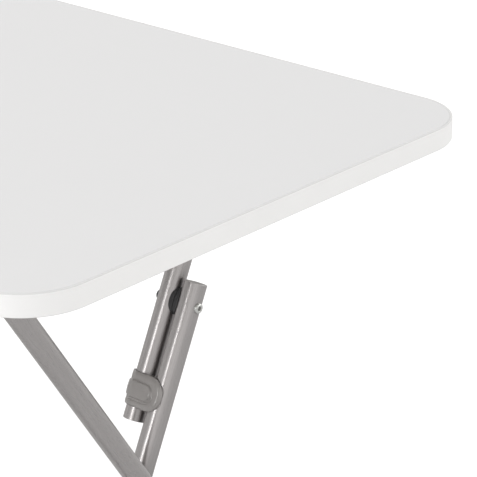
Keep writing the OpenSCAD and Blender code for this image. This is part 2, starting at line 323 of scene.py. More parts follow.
# %% Floor
def make_floor():
    mesh = bpy.data.meshes.new("floor")
    half = 40
    corners = [(-half, -half, 0), (half, -half, 0), (half, half, 0), (-half, half, 0)]
    mesh.from_pydata(corners, [], [(0, 1, 2, 3)])
    material = bpy.data.materials.new("studio_floor")
    material.use_nodes = True
    shader = material.node_tree.nodes["Principled BSDF"]
    shader.inputs["Base Color"].default_value = (0.62, 0.62, 0.62, 1)
    shader.inputs["Roughness"].default_value = 0.9
    shader.inputs["Specular IOR Level"].default_value = 0.1
    shader.inputs["Emission Color"].default_value = (1, 1, 1, 1)
    seen = add(material.node_tree, "ShaderNodeLightPath").outputs["Is Camera Ray"]
    glow = math_node(material.node_tree, "MULTIPLY", seen, 0.5)
    material.node_tree.links.new(glow, shader.inputs["Emission Strength"])
    mesh.materials.append(material)
    floor = new_object("floor", mesh)


make_floor()

# %% [markdown]
# ## Finishes that several materials share
#
# Moulded plastic, rubber and laminate all have a fine grain, and every worn edge is a little
# lighter or smoother than the face beside it. Each such effect is built once, as a shader node
# group with named inputs and outputs, and each material sets its own values on it. The group
# only makes masks and heights. The Principled shader stays in the material.

# %% Shader groups
def shader_group(name, inputs, outputs):
    tree = bpy.data.node_groups.new(name, "ShaderNodeTree")
    for label, value in inputs.items():
        kind = "NodeSocketVector" if value is None else "NodeSocketFloat"
        socket = tree.interface.new_socket(label, in_out="INPUT", socket_type=kind)
        if value is not None:
            socket.default_value = value
    for label in outputs:
        tree.interface.new_socket(label, in_out="OUTPUT", socket_type="NodeSocketFloat")
    return tree, add(tree, "NodeGroupInput").outputs


def noise(tree, place, scale, detail, roughness=0.5):
    return add(tree, "ShaderNodeTexNoise", {"Vector": place, "Scale": scale, "Detail": detail,
               "Roughness": roughness}).outputs["Fac"]


def make_grain_group():
    """Fine moulded grain: a pebbled height, and broad soft mottling from 0 to 1."""
    tree, given = shader_group("moulded_grain", {"Vector": None, "Grain Size": 0.4, "Mottle Size": 25.0},
                               ["Height", "Mottle"])
    fine = math_node(tree, "DIVIDE", 1000.0, given["Grain Size"])
    broad = math_node(tree, "DIVIDE", 1000.0, given["Mottle Size"])
    pebbles = add(tree, "ShaderNodeTexVoronoi", {"Vector": given["Vector"], "Scale": fine},
                  feature="SMOOTH_F1").outputs["Distance"]
    pores = noise(tree, given["Vector"], fine, 3.0, 0.6)
    height = math_node(tree, "ADD", pebbles, pores)
    mottle = noise(tree, given["Vector"], broad, 4.0, 0.55)
    add(tree, "NodeGroupOutput", {"Height": height, "Mottle": spread(tree, mottle, 0.3, 0.7, 0, 1)})
    return tree


def make_brush_group():
    """Brushing: long thin lines along the vector's X. Lines gives their height from 0 to 1."""
    tree, given = shader_group("brushed_lines", {"Vector": None, "Line Width": 0.25, "Line Length": 40.0},
                               ["Lines", "Bands"])
    along = math_node(tree, "DIVIDE", 1000.0, given["Line Length"])
    across = math_node(tree, "DIVIDE", 1000.0, given["Line Width"])
    size = add(tree, "ShaderNodeCombineXYZ", {0: along, 1: across, 2: across}).outputs[0]
    stretched = vector_math(tree, "MULTIPLY", given["Vector"], size)
    lines = noise(tree, stretched, 1.0, 4.0, 0.65)
    bands = noise(tree, vector_math(tree, "SCALE", stretched, 0.12), 1.0, 2.0)
    add(tree, "NodeGroupOutput", {"Lines": spread(tree, lines, 0.3, 0.7, 0, 1),
                                  "Bands": spread(tree, bands, 0.3, 0.7, 0, 1)})
    return tree


def make_wear_group():
    """Worn edges: 1 on an edge, 0 on a face, broken up by noise. Radius is in millimetres."""
    tree, given = shader_group("worn_edges", {"Vector": None, "Radius": 0.8, "Breakup Size": 3.0}, ["Wear"])
    radius = math_node(tree, "MULTIPLY", given["Radius"], mm)
    rounded = add(tree, "ShaderNodeBevel", {"Radius": radius}, samples=4).outputs[0]
    flat = add(tree, "ShaderNodeNewGeometry").outputs["Normal"]
    alike = vector_math(tree, "DOT_PRODUCT", rounded, flat)
    edge = spread(tree, alike, 0.995, 0.90, 0, 1)
    size = math_node(tree, "DIVIDE", 1000.0, given["Breakup Size"])
    patches = spread(tree, noise(tree, given["Vector"], size, 3.0), 0.4, 0.6, 0, 1)
    add(tree, "NodeGroupOutput", {"Wear": math_node(tree, "MULTIPLY", edge, patches)})
    return tree


GRAIN, BRUSH, WEAR = make_grain_group(), make_brush_group(), make_wear_group()
print("shader groups:", [tree.name for tree in (GRAIN, BRUSH, WEAR)])

# %% [markdown]
# ## Materials
#
# `plastic` makes every moulded finish: laminate, band, clip, blocks and rubber. Only the
# numbers differ. Its colour drifts slightly with the mottling, its roughness with the grain,
# and its edges are a shade lighter where hands and floors have rubbed them.

# %% Moulded finishes
def colours(tree, factor, first, second):
    mix = add(tree, "ShaderNodeMix", {"Factor": factor}, data_type="RGBA")
    for socket, value in ((mix.inputs[6], first), (mix.inputs[7], second)):
        if isinstance(value, bpy.types.NodeSocket):
            tree.links.new(value, socket)
        else:
            socket.default_value = (*value, 1)
    return mix.outputs[2]


def new_material(name):
    material = bpy.data.materials.new(name)
    material.use_nodes = True
    return material, material.node_tree, material.node_tree.nodes["Principled BSDF"]


def shades(colour, drift):
    """The colour a little darker and a little lighter."""
    return [c * (1 - drift) for c in colour], [min(1, c * (1 + drift)) for c in colour]


def use_group(tree, group, place, values):
    """One node of a shared group, on those coordinates and with those values."""
    node = add(tree, "ShaderNodeGroup", node_tree=group)
    tree.links.new(place, node.inputs["Vector"])
    for label, value in values.items():
        node.inputs[label].default_value = value
    return node.outputs


def plastic(name, colour, rough, grain_mm=0.4, bump=0.15, drift=0.05, edge_mm=0.6, edge_lift=1.25,
            mottle_mm=25.0, specular=0.5):
    material, tree, shader = new_material(name)
    place = add(tree, "ShaderNodeTexCoord").outputs["Object"]
    grain = use_group(tree, GRAIN, place, {"Grain Size": grain_mm, "Mottle Size": mottle_mm})
    wear = use_group(tree, WEAR, place, {"Radius": edge_mm})
    body = colours(tree, grain["Mottle"], *shades(colour, drift))
    worn = colours(tree, wear["Wear"], body, [min(1, c * edge_lift) for c in colour])
    tree.links.new(worn, shader.inputs["Base Color"])
    tree.links.new(spread(tree, grain["Mottle"], 0, 1, rough - 0.04, rough + 0.04),
                   shader.inputs["Roughness"])
    relief = add(tree, "ShaderNodeBump", {"Strength": bump, "Distance": 0.05 * mm,
                 "Height": grain["Height"]})
    tree.links.new(relief.outputs[0], shader.inputs["Normal"])
    shader.inputs["Specular IOR Level"].default_value = specular
    return material


LAMINATE = plastic("white_laminate", (0.685, 0.686, 0.690), 0.42, grain_mm=0.5, bump=0.25, drift=0.008,
                   edge_mm=0.3, edge_lift=1.0, mottle_mm=60)
BACKER = plastic("board_backer", (0.74, 0.73, 0.71), 0.6, grain_mm=0.8, bump=0.4, drift=0.02, edge_mm=0.3)
BAND = plastic("band_plastic", (0.95, 0.95, 0.945), 0.36, grain_mm=0.6, bump=0.1, drift=0.012,
               edge_mm=0.4, edge_lift=1.02, mottle_mm=40)


def paint_band_edge_shade(material, low_z, high_z, colour):
    """Painted shade: a darker line along the top and bottom edge that damps the highlight the rounded edge
    catches, and draws the dark seam.
    """
    line_far, line_near = 0.75 * mm, 0.25 * mm
    tree = material.node_tree
    shader = tree.nodes["Principled BSDF"]
    body = shader.inputs["Base Color"].links[0].from_socket
    place = add(tree, "ShaderNodeTexCoord").outputs["Object"]
    height = add(tree, "ShaderNodeSeparateXYZ", {0: place}).outputs[2]
    upper = spread(tree, height, high_z - line_far, high_z - line_near, 0, 1)
    lower = spread(tree, height, low_z + line_far, low_z + line_near, 0, 1)
    edge = math_node(tree, "ADD", upper, lower)
    tree.links.new(colours(tree, edge, body, colour), shader.inputs["Base Color"])


band_low, band_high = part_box("edge_band")
# painted shade on the band's rounded top and bottom edges, which also draws the dark seam where band meets
# board
paint_band_edge_shade(BAND, band_low.z, band_high.z, (0.67, 0.67, 0.665))
CLIP = plastic("clip_plastic", (0.300, 0.284, 0.276), 0.17, grain_mm=0.35, bump=0.12, drift=0.06,
               edge_lift=1.3, specular=1.0)
BLOCK = plastic("block_plastic", (0.055, 0.056, 0.058), 0.45, grain_mm=0.4, bump=0.4, drift=0.1,
                edge_lift=1.9)
PLUG = plastic("plug_plastic", (0.27, 0.26, 0.25), 0.5, grain_mm=0.3, bump=0.3, drift=0.06)
SPACER = plastic("spacer_plastic", (0.028, 0.028, 0.030), 0.5, grain_mm=0.35, bump=0.3, drift=0.15,
                 edge_lift=1.8)
RUBBER = plastic("foot_rubber", (0.075, 0.075, 0.078), 0.72, grain_mm=0.3, bump=0.6, drift=0.14,
                 edge_mm=1.0, edge_lift=1.7, specular=0.35)

# %% [markdown]
# Steel tube is brushed along its length, so the lines have to follow the bends. The tube
# tree below stores, on every point, how far along the tube it is and where it sits on the
# section. The steel reads that attribute instead of plain coordinates. Small turned parts
# have no such attribute and use their own coordinates. Tubes also get painted shade where something
# stands close to them: an ambient occlusion node measures how open each point is and darkens
# the colour there, so the thin gap between leg and link reads as a dark, soft line.

# %% Steels
def steel(name, colour, rough, line_mm, bump, brushed=True, drift=0.06):
    material, tree, shader = new_material(name)
    shader.inputs["Metallic"].default_value = 1.0
    if brushed:
        way = add(tree, "ShaderNodeAttribute", attribute_name="tube_way").outputs["Vector"]
    else:
        way = add(tree, "ShaderNodeTexCoord").outputs["Object"]
    brush = use_group(tree, BRUSH, way, {"Line Width": line_mm,
                      "Line Length": 45.0 if brushed else 4 * line_mm})
    body = colours(tree, brush["Bands"], *shades(colour, drift))
    if brushed:
        # painted shade: the base colour darkens where other parts stand close, standing in for the shade in
        # the gap between the tubes
        nearby, closed_in, open_air, painted_shade_dim = 30 * mm, 0.3, 0.97, 0.68
        openness = add(tree, "ShaderNodeAmbientOcclusion", {"Distance": nearby}, samples=8).outputs["AO"]
        body = colours(tree, spread(tree, openness, closed_in, open_air, 0, 1),
                       [c * painted_shade_dim for c in colour], body)
    tree.links.new(body, shader.inputs["Base Color"])
    tree.links.new(spread(tree, brush["Lines"], 0, 1, rough - 0.05, rough + 0.06),
                   shader.inputs["Roughness"])
    relief = add(tree, "ShaderNodeBump", {"Strength": bump, "Distance": 0.02 * mm,
                 "Height": brush["Lines"]})
    tree.links.new(relief.outputs[0], shader.inputs["Normal"])
    return material


STEEL = steel("brushed_steel", (0.460, 0.441, 0.438), 0.29, 0.22, 0.05, drift=0.045)
RIVET = steel("bright_rivet_steel", (0.66, 0.67, 0.65), 0.28, 0.5, 0.3, brushed=False)
DARK_RIVET = steel("dark_rivet_steel", (0.10, 0.10, 0.105), 0.38, 0.5, 0.4, brushed=False)
ZINC = steel("zinc_screw_steel", (0.72, 0.72, 0.70), 0.30, 0.6, 0.4, brushed=False, drift=0.1)
WELD = steel("weld_steel", (0.42, 0.39, 0.36), 0.42, 0.9, 0.9, brushed=False, drift=0.25)
print("materials:", [material.name for material in bpy.data.materials])

# %% [markdown]
# ## The board
#
# The board is melamine-faced chipboard. Its faces stop at the edge band, and a real one has a
# fine V-groove where the two meet, because both edges are broken slightly. A bevel modifier
# would do it, but the outline is one simple rounded rectangle, so the board is skinned from
# four rings: the two faces pulled in by the chamfer, and the two edges of the side.

# %% Board
def rounded_loop(length, width, radius, z, steps=32):
    """Points round a rounded rectangle, anticlockwise from above."""
    loop = []
    for sx, sy, start in ((1, 1, 0), (-1, 1, 90), (-1, -1, 180), (1, -1, 270)):
        middle = Vector((sx * (length / 2 - radius), sy * (width / 2 - radius), z))
        for step in range(steps + 1):
            turn = math.radians(start + 90 * step / steps)
            loop.append(middle + radius * Vector((math.cos(turn), math.sin(turn), 0)))
    return loop


band_low, band_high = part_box("edge_band")
board_low, board_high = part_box("top_board")
board_l, board_w = board_high.x - board_low.x, board_high.y - board_low.y
band_t, corner_r = (band_high.x - band_low.x - board_l) / 2, 56 * mm


def make_board():
    chamfer = 0.45 * mm
    corner = corner_r - band_t
    rings = []
    for z, pull in ((board_low.z, chamfer), (board_low.z + chamfer, 0),
                    (board_high.z - chamfer, 0), (board_high.z, chamfer)):
        rings.append(rounded_loop(board_l - 2 * pull, board_w - 2 * pull, corner - pull, z))
    board = new_object("board", as_mesh("board", *skin(rings), smooth=30))
    board.data.materials.append(LAMINATE)
    board.data.materials.append(BACKER)
    for face in board.data.polygons:
        if face.normal.z < -0.9:
            face.material_index = 1
    return finish_piece(board, "top", stands_for=["top_board"])


make_board()

# %% [markdown]
# ## The edge band
#
# The band is a strip of plastic glued round the board, with rounded outer edges. Its two
# ends meet in a hairline joint in the middle of the back edge. The section is drawn once and
# carried round the outline. The joint is a real gap, so the strip has two ends and stays
# a closed solid.

# %% Band
def make_band():
    round_r, inner_cut, gap = 0.65 * mm, 0.45 * mm, 0.2 * mm
    section = [(0, inner_cut), (inner_cut, 0)]
    for step in range(7):
        turn = math.radians(-90 + 15 * step)
        section.append((band_t - round_r + round_r * math.cos(turn), round_r + round_r * math.sin(turn)))
    section.append((band_t, round_r + 0.15 * mm))  # holds the flat face flat
    thick = band_high.z - band_low.z
    section += [(x, thick - z) for x, z in reversed(section)]
    corner = corner_r - band_t
    path = rounded_loop(board_l, board_w, corner, 0)
    outer = rounded_loop(board_l + 2, board_w + 2, corner + 1, 0)
    ways = [(far - near) for near, far in zip(path, outer)]
    steps = len(path) // 4
    start = Vector((-gap / 2, board_w / 2, 0))
    end = Vector((gap / 2, board_w / 2, 0))
    path = [start, *path[steps:], *path[:steps], end]
    ways = [Vector((0, 1, 0)), *ways[steps:], *ways[:steps], Vector((0, 1, 0))]
    rings = [[spot + way * x + Vector((0, 0, band_low.z + z)) for x, z in section]
             for spot, way in zip(path, ways)]
    band = new_object("edge_band_strip", outward(as_mesh("edge_band_strip", *skin(rings))))
    shade(band.data, 28)
    return finish_piece(band, "top", BAND, ["edge_band"])


make_band()

# %% [markdown]
# ## Tubes that follow a path
#
# Every frame is one tube bent twice. Its path is a few straight edges, and the rule is: round
# the corners, sweep a circle along, give it a wall. That suits Geometry Nodes, because one tree
# then makes all the tubes, each from its own sizes. The tree also stores the `tube_way`
# attribute that the brushed steel reads.

# %% Geometry node helpers
def geometry_tree(name, inputs):
    """A tree with a geometry input and output, and named inputs for its sizes."""
    tree = bpy.data.node_groups.new(name, "GeometryNodeTree")
    tree.interface.new_socket("Geometry", in_out="INPUT", socket_type="NodeSocketGeometry")
    for label, kind in inputs.items():
        tree.interface.new_socket(label, in_out="INPUT", socket_type="NodeSocket" + kind)
    tree.interface.new_socket("Geometry", in_out="OUTPUT", socket_type="NodeSocketGeometry")
    return tree, add(tree, "NodeGroupInput").outputs


def grow(piece, tree, values):
    """Puts the tree on the piece. Each input is set by its socket's identifier."""
    modifier = piece.modifiers.new(tree.name, "NODES")
    for item in tree.interface.items_tree:
        if item.in_out == "INPUT" and item.name in values:
            values[item.name] = (item.identifier, values[item.name])
    modifier.node_group = tree
    for identifier, value in values.values():
        modifier[identifier] = value
    return piece


def wire(name, points, closed=False):
    """A mesh of edges only, for a tree to follow."""
    mesh = bpy.data.meshes.new(name)
    count = len(points)
    edges = [(i, i + 1) for i in range(count - 1)] + ([(count - 1, 0)] if closed else [])
    mesh.from_pydata([tuple(p) for p in points], edges, [])
    return new_object(name, mesh)


def end_tree(tree, geometry, material):
    """Makes copies real, gives them their material and closes the tree."""
    real = add(tree, "GeometryNodeRealizeInstances", {0: geometry}).outputs[0]
    coated = add(tree, "GeometryNodeSetMaterial", {"Geometry": real, "Material": material})
    add(tree, "NodeGroupOutput", {0: coated.outputs[0]})
    return tree


# %% Tube tree
def make_tube_tree():
    tree, given = geometry_tree("tube_along_path", {"Diameter": "Float", "Bend Radius": "Float",
                                "Bend Steps": "Int", "Sides": "Int", "Material": "Material"})
    path = add(tree, "GeometryNodeMeshToCurve", {"Mesh": given["Geometry"]}).outputs[0]
    bent = add(tree, "GeometryNodeFilletCurve", {"Curve": path, "Count": given["Bend Steps"],
               "Radius": given["Bend Radius"]}, mode="POLY").outputs[0]
    how_far = add(tree, "GeometryNodeSplineParameter").outputs["Length"]
    along = add(tree, "GeometryNodeCaptureAttribute", {0: bent})
    along.capture_items.new("FLOAT", "Length")
    tree.links.new(how_far, along.inputs[1])
    radius = math_node(tree, "MULTIPLY", given["Diameter"], 0.5)
    circle = add(tree, "GeometryNodeCurvePrimitiveCircle",
                 {"Resolution": given["Sides"], "Radius": radius}).outputs[0]
    around = add(tree, "GeometryNodeCaptureAttribute", {0: circle})
    around.capture_items.new("VECTOR", "Section")
    tree.links.new(add(tree, "GeometryNodeInputPosition").outputs[0], around.inputs[1])
    tube = add(tree, "GeometryNodeCurveToMesh",
               {"Curve": along.outputs[0], "Profile Curve": around.outputs[0]}).outputs[0]
    section = add(tree, "ShaderNodeSeparateXYZ", {0: around.outputs[1]}).outputs
    way = add(tree, "ShaderNodeCombineXYZ", {0: along.outputs[1], 1: section[0], 2: section[1]}).outputs[0]
    stored = add(tree, "GeometryNodeStoreNamedAttribute",
                 {"Geometry": tube, "Name": "tube_way", "Value": way},
                 data_type="FLOAT_VECTOR", domain="POINT").outputs[0]
    return end_tree(tree, stored, given["Material"])


TUBE = make_tube_tree()


def make_tube(name, points, place, material, cutter=None):
    """A tube with a real wall along the points, put in place, with softened end rims."""
    tube = wire(name, points)
    grow(tube, TUBE, {"Diameter": 2 * tube_r, "Bend Radius": bend_r, "Bend Steps": 24, "Sides": 72,
                      "Material": material})
    wall = tube.modifiers.new("wall", "SOLIDIFY")
    wall.thickness, wall.offset, wall.use_quality_normals = tube_wall, -1, True
    if cutter:
        cut = tube.modifiers.new("cope", "BOOLEAN")
        cut.operation, cut.object, cut.solver = "DIFFERENCE", cutter, "EXACT"
    rim = tube.modifiers.new("rim", "BEVEL")
    rim.limit_method, rim.angle_limit = "ANGLE", math.radians(60)
    rim.width, rim.segments = 0.2 * mm, 2
    baked(tube)
    tube.data.transform(place)
    shade(tube.data, 18)  # keeps the rims' tilted normals off the tube's long faces
    return tube


# %% Three frames and the foot bar
outer_len = (fold.z - foot_z) / math.cos(outer_lean)
inner_foot_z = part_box("inner_frame")[0].z + tube_r
inner_len = (link.z - inner_foot_z) / math.cos(inner_lean)
tilt_sin, tilt_cos = math.sin(inner_lean), math.cos(inner_lean)
leg_over = knee_s - (link.z + tube_r * tilt_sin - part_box("inner_frame")[1].z) / tilt_cos
link_over = (link.z - tube_r * tilt_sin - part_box("link_frame")[0].z) / tilt_cos - knee_s
print(f"leg {leg_over / mm:.1f} mm above the knee, link {link_over / mm:.1f} mm below it")


def u_path(half_w, bar_z, end_z):
    return [Vector((-half_w, 0, end_z)), Vector((-half_w, 0, bar_z)),
            Vector((half_w, 0, bar_z)), Vector((half_w, 0, end_z))]


def make_frames():
    cutter = new_object("cope_cutter", outward(as_mesh("cope_cutter", *skin(
        [[Vector((x, tube_r * 1.005 * math.cos(a), tube_r * 1.005 * math.sin(a) - outer_len))
          for a in [math.tau * i / 96 for i in range(96)]] for x in (-0.4, 0.4)]))))
    outer = make_tube("outer_leg_tube", u_path(outer_x, 0, -outer_len + 2 * mm), outer_place, STEEL, cutter)
    bpy.data.objects.remove(cutter)
    finish_piece(outer, "outer_legs", stands_for=["outer_frame"])
    inner = make_tube("inner_leg_tube", u_path(inner_x, -inner_len, leg_over - knee_s), inner_place, STEEL)
    finish_piece(inner, "inner_legs", stands_for=["inner_frame"])
    short = make_tube("link_tube", u_path(link_x, 0, -knee_s - link_over), inner_place, STEEL)
    finish_piece(short, "links", stands_for=["link_frame"])
    bar = make_tube("foot_bar_tube", [Vector((bar_low.x, 0, 0)), Vector((bar_high.x, 0, 0))],
                    Matrix.Translation((0, foot_y, foot_z)), STEEL)
    finish_piece(bar, "outer_legs", stands_for=["outer_foot_bar"])


make_frames()

# %% [markdown]
# ## Welds
#
# The outer legs are coped, that is, cut to the shape of the foot bar, and welded on all the
# way round. Where two equal tubes meet at a right angle, the joint is a saddle: round the leg
# by an angle `a`, it lies `tube_r * |cos a|` above the bar's axis. The bead follows that
# line. Its radius swells and shrinks in small steps, because a welder lays it as a row of
# overlapping drops.

# %% Weld beads
def make_weld_tree():
    tree, given = geometry_tree("weld_bead", {"Bead Radius": "Float", "Drop Length": "Float",
                                "Unevenness": "Float", "Seed": "Int", "Material": "Material"})
    path = add(tree, "GeometryNodeMeshToCurve", {"Mesh": given["Geometry"]}).outputs[0]
    even = add(tree, "GeometryNodeResampleCurve", {"Curve": path, "Count": 260}, mode="COUNT").outputs[0]
    how_far = add(tree, "GeometryNodeSplineParameter").outputs["Length"]
    phase = math_node(tree, "FRACT", math_node(tree, "DIVIDE", how_far, given["Drop Length"]))
    swell = spread(tree, phase, 0, 1, 0.86, 1.08)
    along = add(tree, "GeometryNodeSetCurveRadius", {"Curve": even, "Radius": swell}).outputs[0]
    circle = add(tree, "GeometryNodeCurvePrimitiveCircle",
                 {"Resolution": 12, "Radius": given["Bead Radius"]}).outputs[0]
    bead = add(tree, "GeometryNodeCurveToMesh", {"Curve": along, "Profile Curve": circle})
    if "Scale" in bead.inputs:
        tree.links.new(swell, bead.inputs["Scale"])
    chance = add(tree, "ShaderNodeTexNoise", {"Scale": 350.0, "W": 0.0}, noise_dimensions="4D")
    tree.links.new(given["Seed"], chance.inputs["W"])
    off = vector_math(tree, "SUBTRACT", chance.outputs["Color"], (0.5, 0.5, 0.5))
    push = vector_math(tree, "SCALE", off, given["Unevenness"])
    rough = add(tree, "GeometryNodeSetPosition", {"Geometry": bead.outputs[0], "Offset": push})
    return end_tree(tree, rough.outputs[0], given["Material"])


def make_welds():
    tree, beads = make_weld_tree(), []
    for side in (1, -1):
        line = []
        for i in range(120):
            a = math.tau * i / 120
            reach = tube_r + 0.25 * mm
            line.append(Vector((side * outer_x + reach * math.cos(a), reach * math.sin(a),
                                reach * abs(math.cos(a)) + 0.3 * mm - outer_len)))
        bead = wire(f"weld_{side}", line, closed=True)
        grow(bead, tree, {"Bead Radius": 1.5 * mm, "Drop Length": 1.7 * mm, "Unevenness": 0.5 * mm,
                          "Seed": 3 + side, "Material": WELD})
        baked(bead)
        bead.data.transform(outer_place)
        outward(bead.data)
        beads.append(bead)
    welds = join("foot_bar_welds", beads)
    shade(welds.data, 60)
    return finish_piece(welds, "outer_legs")


make_welds()

# %% [markdown]
# ## Small parts that repeat
#
# Rivets, screws, washers, spacers and plugs are each made once, lying on the X axis and facing
# +X. One tree then sets copies on points: every point carries a `facing` direction, and the
# tree turns a copy that way. Screws also get a random turn from a fixed seed, because
# nobody lines up the slots. Realize Instances makes the copies real faces.

# %% Copies on points
def make_copies_tree():
    tree, given = geometry_tree("copies_on_points", {"Part": "Object", "Random Turn": "Float",
                                "Seed": "Int", "Material": "Material"})
    facing = add(tree, "GeometryNodeInputNamedAttribute", {"Name": "facing"},
                 data_type="FLOAT_VECTOR").outputs[0]
    spin = add(tree, "FunctionNodeRandomValue", {"Max": 1.0, "Seed": given["Seed"]}, data_type="FLOAT")
    turn = math_node(tree, "MULTIPLY", spin.outputs[1], given["Random Turn"])
    about = add(tree, "ShaderNodeCombineXYZ", {0: turn}).outputs[0]
    first = add(tree, "FunctionNodeEulerToRotation", {0: about}).outputs[0]
    aim = add(tree, "FunctionNodeAlignRotationToVector", {"Vector": facing}, axis="X").outputs[0]
    both = add(tree, "FunctionNodeRotateRotation", {0: first, 1: aim}).outputs[0]
    part = add(tree, "GeometryNodeObjectInfo", {"Object": given["Part"]}).outputs["Geometry"]
    set_out = add(tree, "GeometryNodeInstanceOnPoints", {"Points": given["Geometry"], "Instance": part,
                  "Rotation": both}).outputs[0]
    return end_tree(tree, set_out, given["Material"])


COPIES = make_copies_tree()


def set_out(name, part, spots, material, random_turn=0.0):
    """Copies of a part at (place, facing) spots, as one mesh. The part itself is used up."""
    mesh = bpy.data.meshes.new(name)
    mesh.from_pydata([tuple(place) for place, facing in spots], [], [])
    mesh.attributes.new("facing", "FLOAT_VECTOR", "POINT").data.foreach_set(
        "vector", [value for place, facing in spots for value in facing])
    piece = new_object(name, mesh)
    grow(piece, COPIES, {"Part": part, "Random Turn": random_turn, "Seed": 7, "Material": material})
    baked(piece)
    bpy.data.objects.remove(part)
    return piece


def turned(name, profile, sides=48, smooth=35):
    """A solid turned about X from (x, radius) points that begin and end on the axis."""
    rings = [[Vector((x, r * math.cos(math.tau * i / sides), r * math.sin(math.tau * i / sides)))
              for i in range(sides)] for x, r in profile if r > 0]
    verts, faces = skin(rings)
    mesh = outward(as_mesh(name, verts, faces))
    shade(mesh, smooth)
    return new_object(name, mesh)


def both_ends(place, point, facing=(1, 0, 0)):
    """The spot at the right end and its mirror image at the left, in the row frame."""
    spots = []
    for side in (1, -1):
        at = place @ Vector((side * point[0], point[1], point[2]))
        way = place.to_3x3() @ Vector((side * facing[0], facing[1], facing[2]))
        spots.append((at, way))
    return spots


# %% [markdown]
# ## Rivets
#
# The rivets are semi-tubular: the head is a smooth button whose middle is hollow, and the
# clinched tail rolls outwards. Each head sits on the round of its tube. The profile starts on
# the axis inside the tube, runs out along the underside, over the rim and down the hollow.

# %% Rivets
def rivet_profile(shank_x, head_h):
    """x = 0 is the tube's surface. The shank reaches in to x = -shank_x."""
    r, shank_r, sunk, hole = 4.5 * mm, 3.0 * mm, 1.35 * mm, 1.8 * mm
    h = head_h
    return [(-shank_x, shank_r), (-sunk, shank_r), (-sunk, r), (h * 0.30, r), (h * 0.62, r * 0.955),
            (h * 0.86, r * 0.84), (h * 0.98, r * 0.68), (h, r * 0.56), (h * 0.97, r * 0.47),
            (h * 0.82, hole), (-0.6 * mm, hole * 0.94), (-0.9 * mm, hole * 0.7)]


def make_rivets():
    half_gap = 0.15 * mm
    head_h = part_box("cross_rivet_right")[1].x - outer_x - tube_r
    heads = turned("rivet", rivet_profile(inner_x + tube_r - knee_x - half_gap, head_h))
    spots = both_ends(inner_place, (inner_x + tube_r, 0, -knee_s))
    heads = set_out("knee_rivet_heads", heads, spots, RIVET)
    finish_piece(heads, "inner_legs", stands_for=sided("knee_rivet_head"))
    tails = turned("rivet", rivet_profile(knee_x - link_x + tube_r - half_gap, head_h))
    spots = both_ends(inner_place, (link_x - tube_r, 0, -knee_s), (-1, 0, 0))
    tails = set_out("knee_rivet_tails", tails, spots, DARK_RIVET)
    finish_piece(tails, "links", stands_for=sided("knee_rivet_tail"))
    tail_end = outer_x + tube_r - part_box("cross_rivet_right")[0].x
    through = rivet_profile(tail_end - 1.8 * mm, head_h)
    clinched = [(-tail_end, 1.9 * mm), (-tail_end, 2.9 * mm), (-tail_end + 0.5 * mm, 4.1 * mm),
                (-tail_end + 1.2 * mm, 4.4 * mm), (-tail_end + 1.8 * mm, 4.1 * mm)]
    crossing = turned("rivet", [(-tail_end + 0.7 * mm, 1.6 * mm)] + clinched + through)
    spots = both_ends(outer_place, (outer_x + tube_r, 0, cross_z))
    crossing = set_out("cross_rivets", crossing, spots, RIVET)
    finish_piece(crossing, "outer_legs", stands_for=sided("cross_rivet"))


make_rivets()

# %% [markdown]
# ## Washers and spacers
#
# A plain plastic washer keeps the crossing legs apart. At the knee sits a spacer in two halves,
# one on each tube, and each half is hollowed to hug its tube. The ring nearest the tube
# therefore doesn't lie in a plane: its points drop onto the tube's round surface. `wrap` is
# how far round, in degrees, and it keeps each half inside its CAD saddle's width.

# %% Washers and spacers
def make_washers():
    low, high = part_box("cross_washer_right")
    r, thick, cut = (high.y - low.y) / 2, high.x - low.x, 0.3 * mm
    profile = [(0, r * 0.45), (0, r - cut), (cut, r), (thick * 0.42, r), (thick / 2, r - 0.25 * mm),
               (thick * 0.58, r), (thick - cut, r), (thick, r - cut), (thick, r * 0.45)]
    spots = both_ends(outer_place, (low.x, 0, cross_z))
    washers = set_out("cross_washers", turned("washer", profile), spots, SPACER)
    finish_piece(washers, "outer_legs", stands_for=sided("cross_washer"))


def make_spacers():
    half_l, half_w, half_gap, wrap = 12.0 * mm, 8.0 * mm, 0.15 * mm, 48
    axis_x = inner_x - knee_x

    def ring(x, grow_by, hug=None):
        """One outline: flat at `x`, or laid round the tube and reaching `wrap` degrees each way."""
        points = []
        for i in range(72):
            across, along = [math.copysign(abs(turn) ** 0.8, turn)
                             for turn in (math.cos(math.tau * i / 72), math.sin(math.tau * i / 72))]
            y, z = (half_w + grow_by) * across, (half_l + grow_by) * along
            if hug is not None:
                bend, reach = math.radians(wrap) * across * abs(across) ** 0.5, tube_r + hug
                x, y = axis_x - reach * math.cos(bend), reach * math.sin(bend)
            points.append(Vector((x, y, z)))
        return points

    for name, body, node in (("leg_spacers", "inner_legs", "leg_saddle"),
                             ("link_spacers", "links", "link_saddle")):
        rings = [ring(half_gap, -0.7 * mm), ring(half_gap + 0.15 * mm, -0.3 * mm),
                 ring(half_gap + 0.5 * mm, -0.1 * mm), ring(half_gap + 1.2 * mm, -0.1 * mm),
                 ring(0, -0.1 * mm, 0.75 * mm), ring(0, 0.0, 0.7 * mm),
                 ring(0, 0.0, 0.25 * mm), ring(0, -0.1 * mm, 0.04 * mm)]
        mesh = as_mesh("spacer", *skin(rings))
        if body == "links":
            mesh.transform(Matrix.Scale(-1, 4, (1, 0, 0)))
        outward(mesh)
        mesh.transform(Matrix.Translation((knee_x, 0, -knee_s)))
        mirrored(mesh)
        mesh.transform(inner_place)
        shade(mesh, 50)
        finish_piece(new_object(name, mesh), body, SPACER, sided(node))


make_washers()
make_spacers()

# %% [markdown]
# ## Plugs in the open tube ends
#
# Each plug is pressed in until its face is flush with the tube. The face has a softened rim,
# a shallow dish and, in its middle, the small dimple that moulding leaves.

